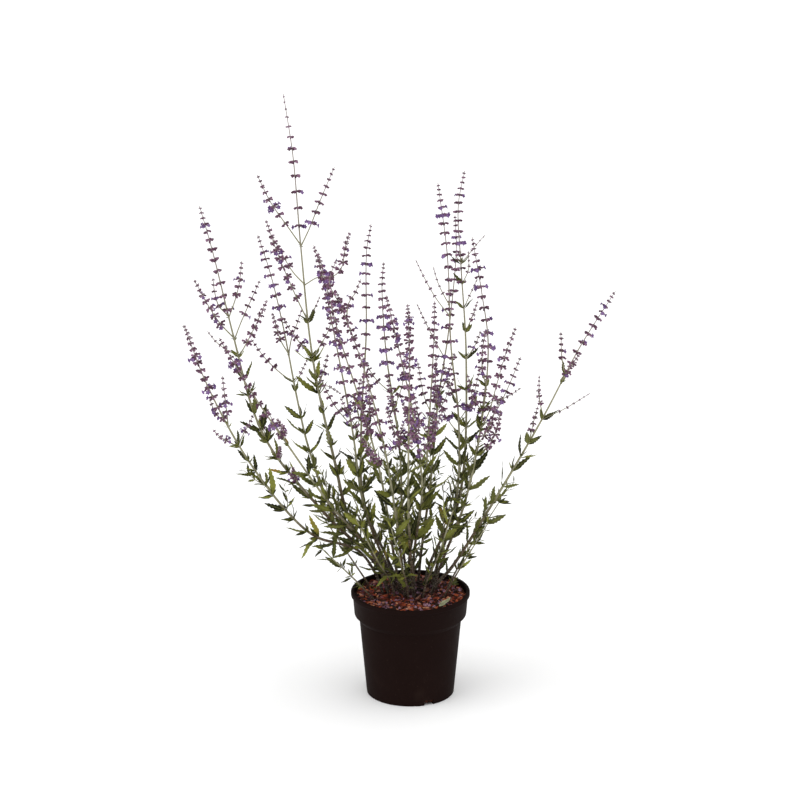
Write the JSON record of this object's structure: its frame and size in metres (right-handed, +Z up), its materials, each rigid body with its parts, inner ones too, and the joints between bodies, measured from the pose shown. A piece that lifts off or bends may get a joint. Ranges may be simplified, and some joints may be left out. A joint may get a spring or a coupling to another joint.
{
  "type": "potted russian sage",
  "caption": "Tall airy Russian sage with slender violet-blue flower spikes and toothed grey-green leaves, growing in a round black nursery pot filled with bark compost.",
  "frame": {"origin": "centre of the pot's flat underside", "axes": "+Z up from the underside to the flower tips, -Y towards the side the picture shows, +X to that side's right"},
  "size_m": [0.6668, 0.4819, 0.969],
  "materials": {
    "pot_plastic": "moulded, slightly satin, very dark brown black",
    "bark_compost": "rough shredded bark, red brown",
    "green_leaf": "matt olive green leaves on grey-green to brown stems",
    "lilac_flower": "downy purple calyces and blue-violet flowers",
    "dry_leaf": "matt pale grey-green"
  },
  "bodies": {
    "root": {"pot": "pot_plastic", "compost": "bark_compost", "fallen_leaf": "dry_leaf", "leafy_stem_01": "green_leaf", "flower_panicle_01": "lilac_flower", "leafy_stem_02": "green_leaf", "flower_panicle_02": "lilac_flower", "leafy_stem_03": "green_leaf", "flower_panicle_03": "lilac_flower", "leafy_stem_04": "green_leaf", "flower_panicle_04": "lilac_flower", "leafy_stem_05": "green_leaf", "flower_panicle_05": "lilac_flower", "leafy_stem_06": "green_leaf", "flower_panicle_06": "lilac_flower", "leafy_stem_07": "green_leaf", "flower_panicle_07": "lilac_flower", "leafy_stem_08": "green_leaf", "flower_panicle_08": "lilac_flower", "leafy_stem_09": "green_leaf", "flower_panicle_09": "lilac_flower", "leafy_stem_10": "green_leaf", "flower_panicle_10": "lilac_flower", "leafy_stem_11": "green_leaf", "flower_panicle_11": "lilac_flower", "leafy_stem_12": "green_leaf", "flower_panicle_12": "lilac_flower", "leafy_stem_13": "green_leaf", "flower_panicle_13": "lilac_flower", "leafy_stem_14": "green_leaf", "flower_panicle_14": "lilac_flower", "leafy_stem_15": "green_leaf", "flower_panicle_15": "lilac_flower", "leafy_stem_16": "green_leaf", "flower_panicle_16": "lilac_flower", "leafy_stem_17": "green_leaf", "flower_panicle_17": "lilac_flower", "leafy_stem_18": "green_leaf", "flower_panicle_18": "lilac_flower", "leafy_shoot_1": "green_leaf", "leafy_shoot_2": "green_leaf", "leafy_shoot_3": "green_leaf", "leafy_shoot_4": "green_leaf", "leafy_shoot_5": "green_leaf", "leafy_shoot_6": "green_leaf", "leafy_shoot_7": "green_leaf", "leafy_shoot_8": "green_leaf", "leafy_shoot_9": "green_leaf", "leafy_shoot_10": "green_leaf"}
  },
  "joints": []
}
